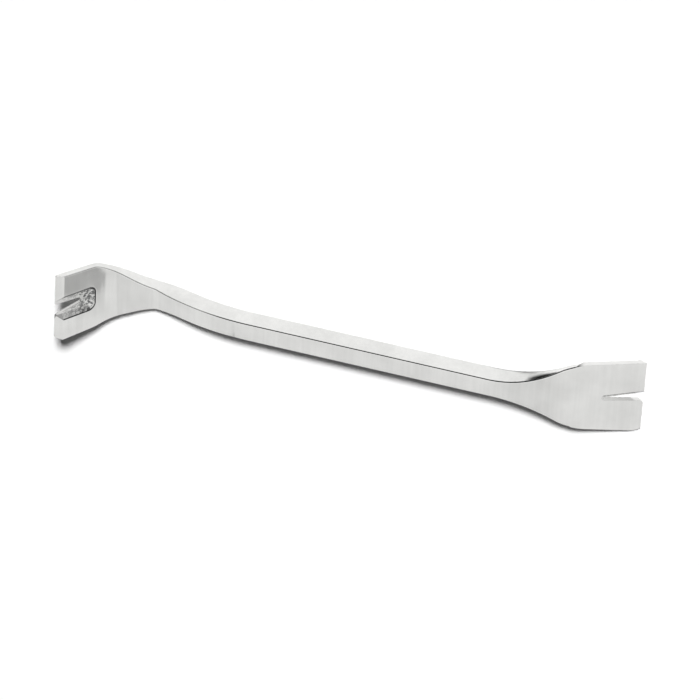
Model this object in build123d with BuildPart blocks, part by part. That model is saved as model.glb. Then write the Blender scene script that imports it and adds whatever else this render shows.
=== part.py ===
from build123d import *
from math import asin, atan2, cos, degrees, radians, sin, tan
import os

# A molding lifter: one steel bar, forged at one end into a flat forked blade
# and at the other into a short bent claw with a recessed fork.
# It is drawn with the bar along X and its upper face at Z = 0, then laid on its back.

# Square bar, straight along the grip
bar_width = 8.0
bar_height = 8.0
bar_edge_radius = 0.45
grip_length = 95.6

# Flat blade at the +X end: its upper face leaves the bar on a long bend
blade_bend_radius = 97.4
blade_angle = 20.1
blade_length = 25.8
blade_width = 33.8
blade_thickness = 2.0
blade_heel_radius = 20.0
blade_side_length = 27.2
blade_side_taper = 2.4
blade_flare_angle = 33.5
blade_flare_radius = 48.5
blade_shoulder_radius = 22.0
blade_corner_run = 5.0
blade_corner_drop = 1.2
blade_corner_radius = 7.0
blade_tip_radius = 0.6
blade_trim_lean = 55.0
blade_bevel_length = 2.1
blade_edge_thickness = 0.3

# Hollow walls of the blade's flare: how far its outline leads the trim line on the face,
# how far it lags behind that half way down and at the back, and where along the bend
# its face is touched
flare_lead = 1.3
flare_mid_lag = 1.6
flare_back_lag = 1.8
flare_station = 0.75
flare_back_drop = 1.0

# Notch through the blade
blade_notch_depth = 15.95
blade_notch_radius = 1.25
blade_notch_opening = 8.5
blade_notch_skew = 3.6
blade_notch_y = -0.28
blade_notch_corner_radius = 1.6

# Neck, saddle and claw at the -X end
neck_bend_radius = 97.5
neck_angle = 15.3
neck_length = 12.6
neck_break_radius = 5.0
saddle_angle = 7.9
saddle_length = 11.8
claw_bend_radius = 16.4
claw_angle = 49.2
claw_length = 15.9
claw_width = 32.2
claw_thickness = 2.6
claw_side_length = 17.4
claw_side_taper = 3.2
claw_flare_tilt = 25.0
claw_flare_angle = 26.4
claw_flare_radius = 35.0
claw_shoulder_radius = 8.6
claw_corner_run = 5.0
claw_corner_drop = 2.0
claw_corner_radius = 6.0
claw_bevel_length = 2.95
claw_bevel_depth = 1.65
claw_lip_radius = 0.7
belly_radius = 35.5

# Notch through the claw and the recess around it
claw_notch_depth = 11.8
claw_notch_radius = 1.25
claw_notch_opening = 16.0
claw_notch_skew = 4.6
claw_notch_y = 0.1
claw_notch_corner_radius = 2.0
recess_width = 12.0
recess_length = 17.4
recess_depth = 1.55
recess_wall_run = 2.5
recess_corner_radius = 3.3

# Room by which cutting tools and drawn outlines run past the metal
clear = 3.0

# Part of a flare's sloping side that the two fillets at its ends may use together
fillet_share = 0.98


def crossing(point, angle, other_point, other_angle):
    """The point where two lines in the side view meet."""
    gap = other_point - point
    turn = sin(radians(other_angle - angle))
    reach = (gap.X * sin(radians(other_angle)) - gap.Y * cos(radians(other_angle))) / turn
    return point + Vector(cos(radians(angle)), sin(radians(angle))) * reach


def face_plane(point, angle):
    """The plane of an upper face that falls by an angle towards +X."""
    fall = radians(angle)
    x_dir = (cos(fall), 0, -sin(fall))
    return Plane(origin=(point.X, 0, point.Y), x_dir=x_dir, z_dir=(sin(fall), 0, cos(fall)))


def below(point, angle, depth):
    """The side-view point at a depth square below a falling upper face."""
    return point - Vector(sin(radians(angle)), cos(radians(angle))) * depth


# Side view, drawn in X and height
with BuildPart() as ribbon:
    with BuildSketch(Plane.XZ):
        with BuildLine():
            grip = Line((-grip_length / 2, 0), (grip_length / 2, 0))
            blade_bend = JernArc(grip @ 1, grip % 1, blade_bend_radius, -blade_angle)
            blade_top = PolarLine(blade_bend @ 1, blade_length, direction=blade_bend % 1)
            neck_bend = JernArc(grip @ 0, (-1, 0), neck_bend_radius, neck_angle)
            neck_top = PolarLine(neck_bend @ 1, neck_length, direction=neck_bend % 1)
            neck_break = JernArc(
                neck_top @ 1, neck_top % 1, neck_break_radius, -(neck_angle + saddle_angle)
            )
            saddle_top = PolarLine(neck_break @ 1, saddle_length, direction=neck_break % 1)
            claw_bend = JernArc(
                saddle_top @ 1, saddle_top % 1, claw_bend_radius, -(claw_angle - saddle_angle)
            )
            claw_top = PolarLine(
                claw_bend @ 1, claw_length - claw_bevel_length, direction=claw_bend % 1
            )

            blade_tip = blade_top @ 1
            claw_tip = claw_top @ 1 + (claw_top % 1) * claw_bevel_length
            claw_lip = below(claw_tip, claw_angle, claw_bevel_depth)
            claw_heel = below(claw_tip, claw_angle, claw_thickness)
            blade_lip = below(blade_tip, blade_angle, blade_edge_thickness)
            bevel_heel = below(
                blade_tip - (blade_top % 1) * blade_bevel_length, blade_angle, blade_thickness
            )
            neck_back = below(neck_top @ 0, -neck_angle, bar_height)
            bar_back = Vector(0, -bar_height)
            belly_corner = crossing(claw_heel, -claw_angle, neck_back, neck_angle)
            neck_corner = crossing(neck_back, neck_angle, bar_back, 0)
            heel_corner = crossing(bar_back, 0, bevel_heel, -blade_angle)

            Line(claw_top @ 1, claw_lip)
            Line(blade_tip, blade_lip)
            Line(blade_lip, bevel_heel)
            back = FilletPolyline(
                claw_lip,
                claw_heel,
                belly_corner,
                neck_corner,
                heel_corner,
                bevel_heel,
                radius=[
                    claw_lip_radius,
                    belly_radius,
                    neck_bend_radius - bar_height,
                    blade_heel_radius,
                ],
            )
        make_face()
    extrude(amount=max(blade_width, claw_width), both=True)

# Planes of the two working faces: origin at the tip, X falling towards +X, Y to the side
blade_face = face_plane(blade_tip, blade_angle)
claw_face = face_plane(claw_tip, claw_angle)
blade_shoulder_width = blade_width - 2 * blade_side_length * tan(radians(blade_side_taper))
claw_shoulder_width = claw_width - 2 * claw_side_length * tan(radians(claw_side_taper))


def flared_side(shoulder, shoulder_width, angle, radius, shoulder_radius, taper, reach):
    """Points and corner radii of one side of a flared end, from past its shoulder to its neck."""
    drop = (shoulder_width - bar_width) / 2
    foot = shoulder - drop / tan(radians(angle))
    shoulder_tangent = shoulder_radius * tan(radians((angle - taper) / 2))
    flare_tangent = radius * tan(radians(angle / 2))
    fit = min(1, fillet_share * drop / sin(radians(angle)) / (shoulder_tangent + flare_tangent))
    points = [
        (shoulder + reach, shoulder_width / 2 + reach * tan(radians(taper))),
        (shoulder, shoulder_width / 2),
        (foot, bar_width / 2),
        (foot - flare_tangent - clear, bar_width / 2),
    ]
    return points, [0, shoulder_radius * fit, radius * fit, 0]


def mirrored(points):
    """The same points on the other side, in backward order."""
    return [(x, -y) for x, y in reversed(points)]


def slot_sides(radius, opening, reach):
    """Corners of a widening slot, tangent to its root circle at the origin and open along X."""
    lean = radians(opening / 2)
    mouth = (radius + reach * sin(lean)) / cos(lean)
    root = (-radius * sin(lean), radius * cos(lean))
    return [root, (reach, mouth), (reach, -mouth), (root[0], -root[1])]


def corner_reach(angle, other_angle, radius):
    """Steps from a sharp corner to the ends of its rounding, along sides at these angles."""
    reach = radius / tan(radians(abs(other_angle - angle) / 2))
    return [Vector(cos(radians(a)), sin(radians(a))) * reach for a in (angle, other_angle)]


# The blade's flare: its outline on the face, half way down and below the back. The lower
# two lag towards the tip, so that the walls between them are hollow
trim_plane = Plane(
    origin=blade_face.from_local_coords((-blade_side_length, 0, 0)),
    x_dir=(0, 1, 0),
    z_dir=blade_face.x_dir + blade_face.z_dir * tan(radians(blade_trim_lean)),
)
station = blade_bend @ flare_station
slant = blade_bend % flare_station
flare_face = face_plane(station, -degrees(atan2(slant.Y, slant.X)))
flare_back = Plane(origin=(station.X, 0, -bar_height - flare_back_drop))
flare_mid = Plane(
    origin=(flare_face.origin + flare_back.origin) / 2,
    x_dir=flare_face.x_dir + flare_back.x_dir,
    z_dir=flare_face.z_dir + flare_back.z_dir,
)
flare_shoulder = flare_face.to_local_coords(trim_plane.origin).X - flare_lead
with BuildPart() as blade_flare:
    for plane, lag in ((flare_face, 0), (flare_mid, flare_mid_lag), (flare_back, flare_back_lag)):
        points, radii = flared_side(
            flare_shoulder + lag,
            blade_shoulder_width,
            blade_flare_angle,
            blade_flare_radius,
            blade_shoulder_radius,
            blade_side_taper,
            blade_shoulder_radius / 2,  # well past the end of the shoulder's rounding
        )
        with BuildSketch(plane):
            with BuildLine():
                FilletPolyline(
                    *points, *mirrored(points), radius=radii + radii[::-1], close=True
                )
            make_face()
    loft()
    split(bisect_by=trim_plane, keep=Keep.BOTTOM)

# Claw plan, drawn on a plane tilted midway between the saddle and the claw
claw_plane = Plane(
    origin=claw_face.from_local_coords((claw_side_length, 0, 0)),
    x_dir=(-cos(radians(claw_flare_tilt)), 0, sin(radians(claw_flare_tilt))),
    z_dir=(sin(radians(claw_flare_tilt)), 0, cos(radians(claw_flare_tilt))),
)
points, radii = flared_side(
    0,
    claw_shoulder_width,
    claw_flare_angle,
    claw_flare_radius,
    claw_shoulder_radius,
    claw_side_taper,
    claw_plane.to_local_coords(claw_face.origin).X + clear,
)
with BuildPart() as claw_plan:
    with BuildSketch(claw_plane):
        with BuildLine():
            FilletPolyline(*points, *mirrored(points), radius=radii + radii[::-1], close=True)
        make_face()
    extrude(amount=2 * claw_width, both=True)

# The blade proper has square walls and starts at a line that leans back to the tip; one
# tip corner and one notch corner are rounded off
points, radii = flared_side(
    -blade_side_length,
    blade_shoulder_width,
    blade_flare_angle,
    blade_flare_radius,
    blade_shoulder_radius,
    blade_side_taper,
    blade_side_length,
)
blade_notch_place = Location(
    (blade_notch_radius - blade_notch_depth, blade_notch_y, 0), (0, 0, blade_notch_skew)
)
with BuildPart() as blade:
    with BuildSketch(blade_face) as blade_plan:
        with BuildLine():
            FilletPolyline(
                *points,
                *mirrored(points[1:]),
                (-blade_corner_run / 2, -blade_width / 2),
                (0, blade_corner_drop - blade_width / 2),
                radius=radii + radii[:0:-1] + [blade_corner_radius, 0],
                close=True,
            )
        make_face()
        with Locations(blade_notch_place):
            Circle(blade_notch_radius, mode=Mode.SUBTRACT)
            Polygon(
                *slot_sides(blade_notch_radius, blade_notch_opening, blade_notch_depth),
                align=None,
                mode=Mode.SUBTRACT,
            )
        for corner, radius in ((1, blade_notch_corner_radius), (0, blade_tip_radius)):
            tip_corners = blade_plan.vertices().group_by(Axis.X)[-1].sort_by(Axis.Y)
            fillet(tip_corners[corner], radius)
    extrude(amount=2 * bar_height, both=True)
    split(bisect_by=trim_plane, keep=Keep.TOP)
    add(ribbon.part, mode=Mode.INTERSECT)

# Recess in the claw face, drawn on its floor and above the face and open past the tip
with BuildPart() as recess:
    for rise in (0, recess_depth + clear):
        spread = recess_wall_run * (rise / recess_depth - 1)
        end = recess_length + spread
        half = recess_width / 2 + spread
        corner = recess_corner_radius + spread
        with BuildSketch(claw_face.offset(rise - recess_depth)):
            with BuildLine():
                FilletPolyline(
                    (-clear, half),
                    (end, half),
                    (end, -half),
                    (-clear, -half),
                    radius=[0, corner, corner, 0],
                    close=True,
                )
            make_face()
    loft(ruled=True)

# Notch and two eased corners cut square through the claw
claw_root = (claw_notch_depth - claw_notch_radius, claw_notch_y)
claw_wall_angle = claw_notch_skew + claw_notch_opening / 2
claw_mouth_y = (
    claw_root[1]
    - claw_root[0] * tan(radians(claw_wall_angle))
    - claw_notch_radius / cos(radians(claw_wall_angle))
)
with BuildPart() as claw_cut:
    with BuildSketch(claw_face):
        with Locations(Location((*claw_root, 0), (0, 0, 180 + claw_notch_skew))):
            Circle(claw_notch_radius)
            Polygon(
                *slot_sides(claw_notch_radius, claw_notch_opening, claw_notch_depth + clear),
                align=None,
            )
        corner = Vector(0, claw_mouth_y)
        step, other_step = corner_reach(-90, claw_wall_angle, claw_notch_corner_radius)
        with BuildLine():
            TangentArc(corner + step, corner + other_step, tangent=-step)
            Polyline(corner + step, corner - (step + other_step) / 2, corner + other_step)
        make_face()
        corner = Vector(0, -claw_width / 2)
        along = Vector(1, tan(radians(claw_side_taper))) * claw_corner_run
        with BuildLine():
            FilletPolyline(
                corner + along,
                corner + along / 2,
                corner + (0, claw_corner_drop),
                corner - (clear, clear),
                radius=[0, claw_corner_radius, 0, 0],
                close=True,
            )
        make_face()
    extrude(amount=2 * claw_thickness, both=True)

# The whole bar: edges rounded up to the trimmed blade, which keeps sharp sides
with BuildPart() as lifter:
    with Locations((claw_tip.X, 0, 0)):
        Box(
            station.X - claw_tip.X,
            bar_width,
            2 * claw_width,
            align=(Align.MIN, Align.CENTER, Align.CENTER),
        )
    add(blade_flare.part)
    add(claw_plan.part)
    add(ribbon.part, mode=Mode.INTERSECT)
    bar_edges = lifter.edges().filter_by(Axis.X).filter_by(lambda edge: edge.length > grip_length / 2)
    fillet(bar_edges, bar_edge_radius)
    add(blade.part)
    add(recess.part, mode=Mode.SUBTRACT)
    add(claw_cut.part, mode=Mode.SUBTRACT)

# Laid on its back it touches down on the belly of the claw and on the heel of the blade's bevel
belly_centre = crossing(
    below(claw_heel, claw_angle, -belly_radius),
    -claw_angle,
    below(neck_back, -neck_angle, -belly_radius),
    neck_angle,
)
span = bevel_heel - belly_centre
lean_back = degrees(atan2(-span.Y, span.X) - asin(belly_radius / span.length))
with BuildPart() as molding_lifter:
    with Locations(Location((0, 0, 0), (0, -lean_back, 0))):
        add(lifter.part)
bounds = molding_lifter.part.bounding_box()
floor_point = Vector(bounds.center().X, bounds.center().Y, bounds.min.Z)
molding_lifter.part.label = "molding_lifter"
os.makedirs("parts", exist_ok=True)
export_step(molding_lifter.part.moved(Location(-floor_point)), "parts/molding_lifter.step")
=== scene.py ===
from math import cos, pi, radians, sin

import bpy
from mathutils import Matrix, Vector

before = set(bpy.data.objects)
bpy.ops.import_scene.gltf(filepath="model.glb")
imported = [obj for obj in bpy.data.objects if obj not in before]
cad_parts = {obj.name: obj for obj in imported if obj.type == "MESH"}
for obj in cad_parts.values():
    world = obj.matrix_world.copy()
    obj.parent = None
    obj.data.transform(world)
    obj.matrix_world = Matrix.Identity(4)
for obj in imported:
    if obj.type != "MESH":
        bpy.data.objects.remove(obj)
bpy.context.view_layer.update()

mm = 0.001


def toLinear(hexColour):
    # sRGB hex to the linear values that the shaders work in
    parts = [int(hexColour[i:i + 2], 16) / 255 for i in (1, 3, 5)]
    return [p / 12.92 if p <= 0.04045 else ((p + 0.055) / 1.055) ** 2.4 for p in parts] + [1.0]


def addNode(tree, kind, settings={}):
    # one node: a setting is a property, a socket's value, or the socket that it is linked from
    node = tree.nodes.new(kind)
    for name, value in settings.items():
        if isinstance(value, bpy.types.NodeSocket):
            tree.links.new(value, node.inputs[name])
        elif isinstance(name, str) and hasattr(node, name):
            setattr(node, name, value)
        else:
            node.inputs[name].default_value = value
    return node


def newMaterial(name):
    material = bpy.data.materials.new(name)
    material.use_nodes = True
    material.node_tree.nodes.clear()
    return material, material.node_tree


def between(tree, value, low, high, soft=1e-6, top=1.0):
    # top where the value lies between two limits, 0 elsewhere, with soft edges
    rising = addNode(tree, "ShaderNodeMapRange", {
        "interpolation_type": "SMOOTHSTEP",
        "Value": value, "From Min": low - soft, "From Max": low + soft, "To Max": top,
    })
    falling = addNode(tree, "ShaderNodeMapRange", {
        "interpolation_type": "SMOOTHSTEP",
        "Value": value, "From Min": high - soft, "From Max": high + soft,
        "To Min": rising.outputs[0], "To Max": 0.0,
    })
    return falling.outputs[0]


# The claw's face and the recess in it, in the part's own axes
clawLook = {
    "tip": (-111.9, -0.04, 25.22),  # mm, where the face would end without its bevel
    "lean": 48.5,  # degrees that the face leans off level
    "recessHalf": 8.6,  # mm
    "recessEnds": (2.9, 25.0),  # mm from the tip, from behind the bevel to past the recess
    "recessDeep": 1.6,  # mm
    # how deep the painted shade line round the rim reaches below the face
    "rimDeep": (0.28, 1.1),  # mm, along most of the rim and along its +Y side
    "rimTurn": (3.6, 4.4),  # mm across the tool, where one goes over to the other
    "skin": 0.04,  # mm, what still counts as the face itself
    "spotted": (4.0, 13.0),  # mm from the tip, over which the dark spots come in
    "spottedLeast": 0.15,
}


def recessMasks(tree, place, look):
    # the recess, the painted shade line round its rim and its dark spots, with the place that they are
    # worked out from, in the claw face's own axes
    turned = addNode(tree, "ShaderNodeMapping", {
        "vector_type": "TEXTURE", "Vector": place,
        "Location": Vector(look["tip"]) * mm,
        "Rotation": (0.0, radians(look["lean"]), 0.0),
    }).outputs[0]
    axes = addNode(tree, "ShaderNodeSeparateXYZ", {0: turned}).outputs
    start, end = look["recessEnds"]
    inWidth = between(tree, axes["Y"], -look["recessHalf"] * mm, look["recessHalf"] * mm)
    inPlan = between(tree, axes["X"], start * mm, end * mm, top=inWidth)
    recess = between(tree, axes["Z"], -look["recessDeep"] * mm, -look["skin"] * mm, top=inPlan)

    rimLevel = addNode(tree, "ShaderNodeMapRange", {
        "Value": axes["Y"],
        "From Min": look["rimTurn"][0] * mm, "From Max": look["rimTurn"][1] * mm,
        "To Min": -look["rimDeep"][0] * mm, "To Max": -look["rimDeep"][1] * mm,
    })
    # painted shade line round the rim: the upper part of the recess wall
    nearRim = addNode(tree, "ShaderNodeMath", {
        "operation": "GREATER_THAN", 0: axes["Z"], 1: rimLevel.outputs[0],
    })
    paintedRimShade = addNode(tree, "ShaderNodeMath", {"operation": "MULTIPLY", 0: recess, 1: nearRim.outputs[0]})

    comingIn = addNode(tree, "ShaderNodeMapRange", {
        "Value": axes["X"],
        "From Min": look["spotted"][0] * mm, "From Max": look["spotted"][1] * mm,
        "To Min": look["spottedLeast"],
    })
    spotted = addNode(tree, "ShaderNodeMath", {
        "operation": "MULTIPLY", 0: recess, 1: comingIn.outputs[0],
    })
    return recess, paintedRimShade.outputs[0], spotted.outputs[0], turned


# Chrome-plated steel, forged, ground along its faces and plated. The plate is a cool, nearly
# neutral mirror: light areas melt into each other over the slow waves of the forging, faint
# belt lines run across the faces, and a painted dark reflection lines the rounded long edges. The
# milled recess in the claw keeps its cutter marks, which break the light up into sparks, and a painted
# shade line runs round its rim
chromeLook = {
    "colourThin": "#e5e5e3",
    "colourThick": "#f0f0ee",
    "cloudRange": (0.35, 0.65),  # share of the noise over which thin goes over to thick
    "cloudLines": 0.3,  # share of that noise that comes from the belt lines
    "roughness": 0.11,
    "roughnessSpread": 0.03,
    "lineSpacing": 1.6,  # mm between the wider belt lines
    "lineLength": 30.0,  # mm
    "lineDepth": 0.0008,  # mm
    "waveSize": 11.0,  # mm across a slow wave of the forged surface
    "waveDepth": 0.06,  # mm
    "grainSize": 0.3,  # mm
    "grainDepth": 0.0005,  # mm
    "edgeRadius": 0.16,  # mm that the shading rounds each edge by
    # painted dark reflection: the colour put on the rounded long edges
    "edgeReflectionColour": "#3e3f3f",
    "edgeSide": (0.45, 0.985),  # how far a rounded edge's normal points to the side
    "edgeSideSoft": 0.02,
    "edgeUp": 0.07,  # and how far up at least
    "edgeUpSoft": 0.03,
    "edgeFade": (-58.0, -50.0),  # mm along the tool, where the line gets weaker towards the claw
    "edgeLeft": 0.3,
    "millPitch": 1.2,  # mm between cutter marks
    "millDepth": 0.09,  # mm
    "millColour": "#767777",
    "millSpots": (0.42, 0.58),  # share of the noise over which a mark turns dark
    "millRoughness": 0.2,
    # painted shade: the colour of the dark line round the recess rim
    "rimShadeColour": "#3c3d3d",
}


def paintedEdgeReflectionMask(tree, place, recess, look):
    # where the dark reflection is painted: the rounded long edges of the upper faces, weaker along the
    # neck and the claw
    normal = addNode(tree, "ShaderNodeTexCoord").outputs["Normal"]
    lean = addNode(tree, "ShaderNodeSeparateXYZ", {0: normal}).outputs
    side = addNode(tree, "ShaderNodeMath", {"operation": "ABSOLUTE", 0: lean["Y"]}).outputs[0]
    upwards = between(tree, lean["Z"], look["edgeUp"], 2.0, look["edgeUpSoft"])
    edge = between(tree, side, *look["edgeSide"], look["edgeSideSoft"], top=upwards)
    outside = addNode(tree, "ShaderNodeMix", {"data_type": "FLOAT", "Factor": recess, "A": edge, "B": 0.0})
    along = addNode(tree, "ShaderNodeSeparateXYZ", {0: place}).outputs["X"]
    fade = addNode(tree, "ShaderNodeMapRange", {
        "Value": along, "To Min": look["edgeLeft"],
        "From Min": look["edgeFade"][0] * mm, "From Max": look["edgeFade"][1] * mm,
    })
    return addNode(tree, "ShaderNodeMath", {
        "operation": "MULTIPLY", 0: outside.outputs[0], 1: fade.outputs[0],
    }).outputs[0]


def chromePlatedSteel(look):
    material, tree = newMaterial("chromePlatedSteel")
    place = addNode(tree, "ShaderNodeTexCoord").outputs["Object"]
    recess, paintedRimShade, spotted, clawPlace = recessMasks(tree, place, clawLook)

    # lines left by the grinding belt, long across the tool and narrow along it
    spacing, length = look["lineSpacing"] * mm, look["lineLength"] * mm
    stretch = addNode(tree, "ShaderNodeMapping", {
        "Vector": place, "Scale": (1 / spacing, 1 / length, 1 / spacing),
    })
    lines = addNode(tree, "ShaderNodeTexNoise", {
        "Vector": stretch.outputs[0], "Scale": 1.0, "Detail": 3.0,
    }).outputs[0]
    waves = addNode(tree, "ShaderNodeTexNoise", {
        "Vector": place, "Scale": 1 / (look["waveSize"] * mm), "Detail": 2.0,
    }).outputs[0]
    grain = addNode(tree, "ShaderNodeTexNoise", {
        "Vector": place, "Scale": 1 / (look["grainSize"] * mm), "Detail": 2.0,
    }).outputs[0]
    cutter = addNode(tree, "ShaderNodeTexNoise", {
        "Vector": clawPlace, "Scale": 1 / (look["millPitch"] * mm), "Detail": 2.0, "Distortion": 0.6,
    }).outputs[0]

    # every layer of relief lies on the one before it, the cutter marks in the recess only
    relief = addNode(tree, "ShaderNodeBevel", {"samples": 6, "Radius": look["edgeRadius"] * mm})
    for height, depth, strength in (
        (waves, look["waveDepth"], 1.0),
        (lines, look["lineDepth"], 1.0),
        (grain, look["grainDepth"], 1.0),
        (cutter, look["millDepth"], recess),
    ):
        relief = addNode(tree, "ShaderNodeBump", {
            "Height": height, "Distance": depth * mm, "Strength": strength, "Normal": relief.outputs[0],
        })

    plain = addNode(tree, "ShaderNodeMapRange", {
        "Value": waves, "From Min": 0.3, "From Max": 0.7,
        "To Min": look["roughness"] - look["roughnessSpread"],
        "To Max": look["roughness"] + look["roughnessSpread"],
    })
    roughness = addNode(tree, "ShaderNodeMix", {
        "data_type": "FLOAT", "Factor": recess, "A": plain.outputs[0], "B": look["millRoughness"],
    })

    # the plate clouds a little with its thickness, and with the lines under it
    thickness = addNode(tree, "ShaderNodeMix", {
        "data_type": "FLOAT", "Factor": look["cloudLines"], "A": waves, "B": lines,
    })
    cloud = addNode(tree, "ShaderNodeMapRange", {
        "Value": thickness.outputs[0],
        "From Min": look["cloudRange"][0], "From Max": look["cloudRange"][1],
    })
    tint = addNode(tree, "ShaderNodeMix", {
        "data_type": "RGBA", 0: cloud.outputs[0],
        6: toLinear(look["colourThin"]), 7: toLinear(look["colourThick"]),
    })
    # dark spots in the cutter marks, a painted shade line round the rim and a painted dark reflection
    # along each long edge
    spots = addNode(tree, "ShaderNodeMapRange", {
        "Value": cutter, "To Max": spotted,
        "From Min": look["millSpots"][0], "From Max": look["millSpots"][1],
    })
    for mask, colour in (
        (spots.outputs[0], look["millColour"]),
        (paintedRimShade, look["rimShadeColour"]),
        # painted dark reflection along the rounded long edges
        (paintedEdgeReflectionMask(tree, place, recess, look), look["edgeReflectionColour"]),
    ):
        tint = addNode(tree, "ShaderNodeMix", {
            "data_type": "RGBA", 0: mask, 6: tint.outputs[2], 7: toLinear(colour),
        })
    shader = addNode(tree, "ShaderNodeBsdfPrincipled", {
        "Metallic": 1.0, "Base Color": tint.outputs[2], "Roughness": roughness.outputs[0],
        "Normal": relief.outputs[0],
    })
    addNode(tree, "ShaderNodeOutputMaterial", {"Surface": shader.outputs[0]})
    return material


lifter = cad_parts["molding_lifter"]
lifter.data.materials.clear()
lifter.data.materials.append(chromePlatedSteel(chromeLook))
print("chrome on the lifter")


# The tool lies on a plain white floor. Only metal sees it go dark in the nook between bar and
# blade, where little light gets to, and dim a hand's breadth or two away: both are painted shade
floorLook = {
    "size": 6.0,  # m
    "colour": "#ffffff",
    # painted shade, seen only by metal: dark patches in the floor's colour
    "nookShades": (  # middle and half size of each dark patch, mm
        ((66.0, 0.0, 0.0), (15.5, 10.75, 10.0)),
        ((64.0, 16.4, 0.0), (6.5, 4.2, 10.0)),
    ),
    "nookSoft": 0.08,  # share of its half size
    "nookDark": 0.99,
    "metalSees": 1.0,
    "evened": 0.6,  # share of that light that knows no shadow
    # painted shade for metal: a little everywhere, more far off
    "nearDark": 0.04,
    "reach": 320.0,  # mm
    "reachSoft": 160.0,  # mm
    "farDark": 0.7,
}


def stagePlane(name, width, height, material, place=None):
    corners = [(x * width / 2, y * height / 2, 0) for x, y in ((-1, -1), (1, -1), (1, 1), (-1, 1))]
    mesh = bpy.data.meshes.new(name)
    mesh.from_pydata(corners, [], [(0, 1, 2, 3)])
    mesh.materials.append(material)
    plane = bpy.data.objects.new(name, mesh)
    if place:
        plane.matrix_world = place
    bpy.context.collection.objects.link(plane)
    return plane


def whiteFloor(look):
    material, tree = newMaterial("whitePaperFloor")
    place = addNode(tree, "ShaderNodeNewGeometry").outputs["Position"]
    far = addNode(tree, "ShaderNodeVectorMath", {"operation": "LENGTH", 0: place})
    farOff = addNode(tree, "ShaderNodeMapRange", {
        "interpolation_type": "SMOOTHSTEP", "Value": far.outputs["Value"], "To Max": look["farDark"],
        "From Min": look["reach"] * mm, "From Max": (look["reach"] + look["reachSoft"]) * mm,
    })
    dark = addNode(tree, "ShaderNodeMath", {
        "operation": "MAXIMUM", 0: farOff.outputs[0], 1: look["nearDark"],
    })
    # painted shade in the nooks and far off, for glossy rays only
    for middle, half in look["nookShades"]:
        inNook = addNode(tree, "ShaderNodeMapping", {
            "vector_type": "TEXTURE", "Vector": place,
            "Location": Vector(middle) * mm, "Scale": Vector(half) * mm,
        })
        out = addNode(tree, "ShaderNodeVectorMath", {"operation": "LENGTH", 0: inNook.outputs[0]})
        nookShade = between(tree, out.outputs["Value"], -2.0, 1.0, look["nookSoft"], top=look["nookDark"])
        dark = addNode(tree, "ShaderNodeMath", {"operation": "MAXIMUM", 0: dark.outputs[0], 1: nookShade})

    byMetal = addNode(tree, "ShaderNodeLightPath").outputs["Is Glossy Ray"]
    dimmed = addNode(tree, "ShaderNodeMath", {"operation": "MULTIPLY", 0: dark.outputs[0], 1: byMetal})
    shade = addNode(tree, "ShaderNodeMix", {
        "data_type": "RGBA", 0: dimmed.outputs[0], 6: toLinear(look["colour"]), 7: toLinear("#000000"),
    })
    lit = addNode(tree, "ShaderNodeBsdfDiffuse", {"Color": shade.outputs[2]})
    seen = addNode(tree, "ShaderNodeEmission", {"Color": shade.outputs[2], "Strength": look["metalSees"]})
    evened = addNode(tree, "ShaderNodeMath", {"operation": "MULTIPLY", 0: byMetal, 1: look["evened"]})
    shader = addNode(tree, "ShaderNodeMixShader", {
        0: evened.outputs[0], 1: lit.outputs[0], 2: seen.outputs[0],
    })
    addNode(tree, "ShaderNodeOutputMaterial", {"Surface": shader.outputs[0]})
    return stagePlane("floor", look["size"], look["size"], material)


whiteFloor(floorLook)
print("floor")


# One soft key lamp from the far side of the bar gives the floor its light and the shadow.
# Metal sees the room instead: a bright, slightly uneven ceiling over a dark horizon, brightest
# overhead and dimmer behind the camera. Heights and headings without a unit are shares of a
# unit vector that points at them
lightLook = {
    "keyFall": 48.0,  # degrees off straight down
    "keySide": 12.6,  # degrees round from +Y
    "keySpread": 7.0,  # degrees across
    "keyFloor": 0.96,  # what the white floor gets from it
    "roomFloor": 0.07,  # and from the room
    "roomWhite": 1.0,
    "horizon": 0.38,
    "horizonHeight": 4.0,  # degrees
    "ceiling": 0.82,
    "ceilingHeight": 20.0,  # degrees
    "dip": (-0.05, 0.24),  # where along +X the ceiling is a little darker
    "dipSoft": 0.06,
    "dipDepth": 0.09,
    "darkBehind": 0.3,
    "behind": 0.3,  # how far towards +Y that starts
    "behindSoft": 0.15,
    "behindTop": 0.8,  # and how high it goes
    "behindTopSoft": 0.08,
    "zenith": 1.05,
    "overhead": 0.93,  # how high that starts
    "overheadSoft": 0.04,
}


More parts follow.
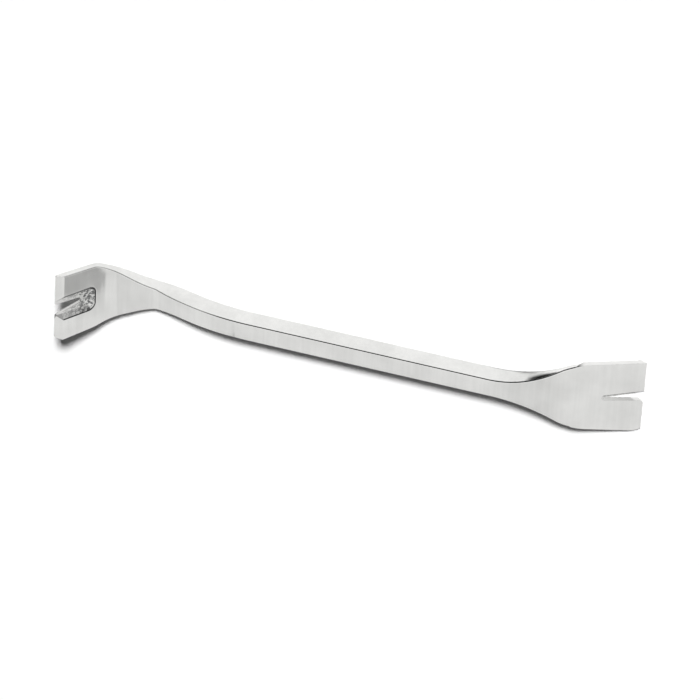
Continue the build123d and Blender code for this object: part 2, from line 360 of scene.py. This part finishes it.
def studioLight(look):
    key = bpy.data.lights.new("key", "SUN")
    key.angle = radians(look["keySpread"])
    fall, side = radians(look["keyFall"]), radians(look["keySide"])
    key.energy = look["keyFloor"] * pi / cos(fall)
    lamp = bpy.data.objects.new("key", key)
    towards = Vector((sin(side) * sin(fall), cos(side) * sin(fall), cos(fall)))
    lamp.rotation_euler = towards.to_track_quat("Z", "Y").to_euler()
    lamp.visible_glossy = False  # the plate would show it as a hard spot
    bpy.context.collection.objects.link(lamp)

    world = bpy.data.worlds.new("studio")
    world.use_nodes = True
    bpy.context.scene.world = world
    tree = world.node_tree
    tree.nodes.clear()
    heading = addNode(tree, "ShaderNodeTexCoord").outputs["Generated"]
    axes = addNode(tree, "ShaderNodeSeparateXYZ", {0: heading}).outputs
    ceiling = addNode(tree, "ShaderNodeMapRange", {
        "interpolation_type": "SMOOTHSTEP", "Value": axes["Z"],
        "From Min": sin(radians(look["horizonHeight"])), "From Max": sin(radians(look["ceilingHeight"])),
        "To Min": look["horizon"], "To Max": look["ceiling"],
    })
    dip = between(tree, axes["X"], *look["dip"], look["dipSoft"], top=look["dipDepth"])
    low = between(tree, axes["Z"], 0.0, look["behindTop"], look["behindTopSoft"])
    behind = between(tree, axes["Y"], look["behind"], 2.0, look["behindSoft"], top=low)
    overhead = between(tree, axes["Z"], look["overhead"], 2.0, look["overheadSoft"])
    ray = addNode(tree, "ShaderNodeLightPath").outputs
    byMetal = between(tree, ray["Diffuse Depth"], -1.0, 0.5, top=ray["Is Glossy Ray"])

    room = ceiling.outputs[0]
    for share, level in ((dip, 0.0), (behind, look["darkBehind"]), (overhead, look["zenith"])):
        room = addNode(tree, "ShaderNodeMix", {
            "data_type": "FLOAT", "Factor": share, "A": room, "B": level,
        }).outputs[0]
    other = addNode(tree, "ShaderNodeMix", {
        "data_type": "FLOAT", "Factor": byMetal, "A": look["roomFloor"], "B": room,
    }).outputs[0]
    strength = addNode(tree, "ShaderNodeMix", {
        "data_type": "FLOAT", "Factor": ray["Is Camera Ray"], "A": other, "B": look["roomWhite"],
    })
    background = addNode(tree, "ShaderNodeBackground", {
        "Color": toLinear("#ffffff"), "Strength": strength.outputs[0],
    })
    addNode(tree, "ShaderNodeOutputWorld", {"Surface": background.outputs[0]})


studioLight(lightLook)


# A glowing card that only metal sees, no lamp: its painted light is white with a grey end and a
# soft, blotchy edge between, and puts a painted dark reflection on the upper corner of the claw's face
cardLook = {
    "place": (-73.9, -56.0, 17.2),  # mm
    "faces": (-0.757, 0.648, -0.085),
    "roll": -29.9,  # degrees off upright
    "width": 78.0,  # mm
    "height": 90.0,  # mm
    # glow levels of the card's painted light
    "grey": 0.44,
    "pale": 0.7,
    "white": 0.82,
    "edge": -26.8,  # mm from the middle, where grey ends
    "paleEnd": (-23.0, -16.0),  # mm from the middle, over which pale turns white
    "bends": ((-2.0, 6.0, 5.7), (11.0, 16.0, 12.0)),  # mm up the card, from and to, and the edge's move
    "fade": 2.2,  # mm to each side of the edge
    "blotch": 9.0,  # mm across the blotches
    "wander": 7.0,  # mm that they move the edge by
}


def glowingReflectionCard(look):
    material, tree = newMaterial("glowingReflectionCard")
    place = addNode(tree, "ShaderNodeTexCoord").outputs["Object"]
    axes = addNode(tree, "ShaderNodeSeparateXYZ", {0: place}).outputs
    uneven = addNode(tree, "ShaderNodeTexNoise", {"Vector": place, "Scale": 1 / (look["blotch"] * mm)})
    moves = [addNode(tree, "ShaderNodeMapRange", {
        "Value": uneven.outputs[0],
        "To Min": -look["wander"] / 2 * mm, "To Max": look["wander"] / 2 * mm,
    })]
    for start, end, move in look["bends"]:
        moves.append(addNode(tree, "ShaderNodeMapRange", {
            "Value": axes["Y"], "From Min": start * mm, "From Max": end * mm, "To Max": move * mm,
        }))
    across = axes["X"]
    for move in moves:
        across = addNode(tree, "ShaderNodeMath", {
            "operation": "ADD", 0: across, 1: move.outputs[0],
        }).outputs[0]

    paleToWhite = addNode(tree, "ShaderNodeMapRange", {
        "Value": across, "To Min": look["pale"], "To Max": look["white"],
        "From Min": look["paleEnd"][0] * mm, "From Max": look["paleEnd"][1] * mm,
    })
    pastEdge = between(tree, across, look["edge"] * mm, 1.0, look["fade"] * mm)
    tone = addNode(tree, "ShaderNodeMix", {
        "data_type": "FLOAT", "Factor": pastEdge, "A": look["grey"], "B": paleToWhite.outputs[0],
    })
    # painted light: the card glows though it is no lamp
    glow = addNode(tree, "ShaderNodeEmission", {"Color": toLinear("#ffffff"), "Strength": tone.outputs[0]})
    addNode(tree, "ShaderNodeOutputMaterial", {"Surface": glow.outputs[0]})

    facing = Vector(look["faces"]).to_track_quat("Z", "Y").to_matrix().to_4x4()
    rolled = facing @ Matrix.Rotation(radians(look["roll"]), 4, "Z")
    stand = Matrix.Translation(Vector(look["place"]) * mm) @ rolled
    card = stagePlane("glowingReflectionCard", look["width"] * mm, look["height"] * mm, material, stand)
    for kind in ("camera", "diffuse", "transmission", "volume_scatter", "shadow"):
        setattr(card, "visible_" + kind, False)


glowingReflectionCard(cardLook)
print("light")


# Camera where the photo was taken from: far off, looking down from the +Y side, with the
# claw at the left and the picture's top towards +Y
cameraLook = {
    "aim": (0.571, 0.0, 10.988),  # mm, the point in the middle of the picture
    "distance": 2388.0,  # mm
    "side": 40.4,  # degrees round from the upper face towards the +Y side
    "turn": 13.33,  # degrees towards the blade's end
    "roll": 3.65,  # degrees
    "lens": 321.8,  # mm on a 36 mm sensor
}


def photoCamera(look):
    side, turn, roll = (radians(look[name]) for name in ("side", "turn", "roll"))
    towards = Vector((cos(side) * sin(turn), sin(side), cos(side) * cos(turn)))
    right = Vector((cos(turn), 0, -sin(turn)))
    up = towards.cross(right)
    axes = Matrix((
        right * cos(roll) + up * sin(roll),
        up * cos(roll) - right * sin(roll),
        towards,
    )).transposed()
    data = bpy.data.cameras.new("photoCamera")
    data.lens = look["lens"]
    data.sensor_width = 36
    data.clip_end = 100
    camera = bpy.data.objects.new("photoCamera", data)
    spot = Vector(look["aim"]) * mm + axes.col[2] * look["distance"] * mm
    camera.matrix_world = Matrix.Translation(spot) @ axes.to_4x4()
    bpy.context.collection.objects.link(camera)
    bpy.context.scene.camera = camera


photoCamera(cameraLook)
bpy.context.scene.view_settings.view_transform = "Standard"
print("camera")
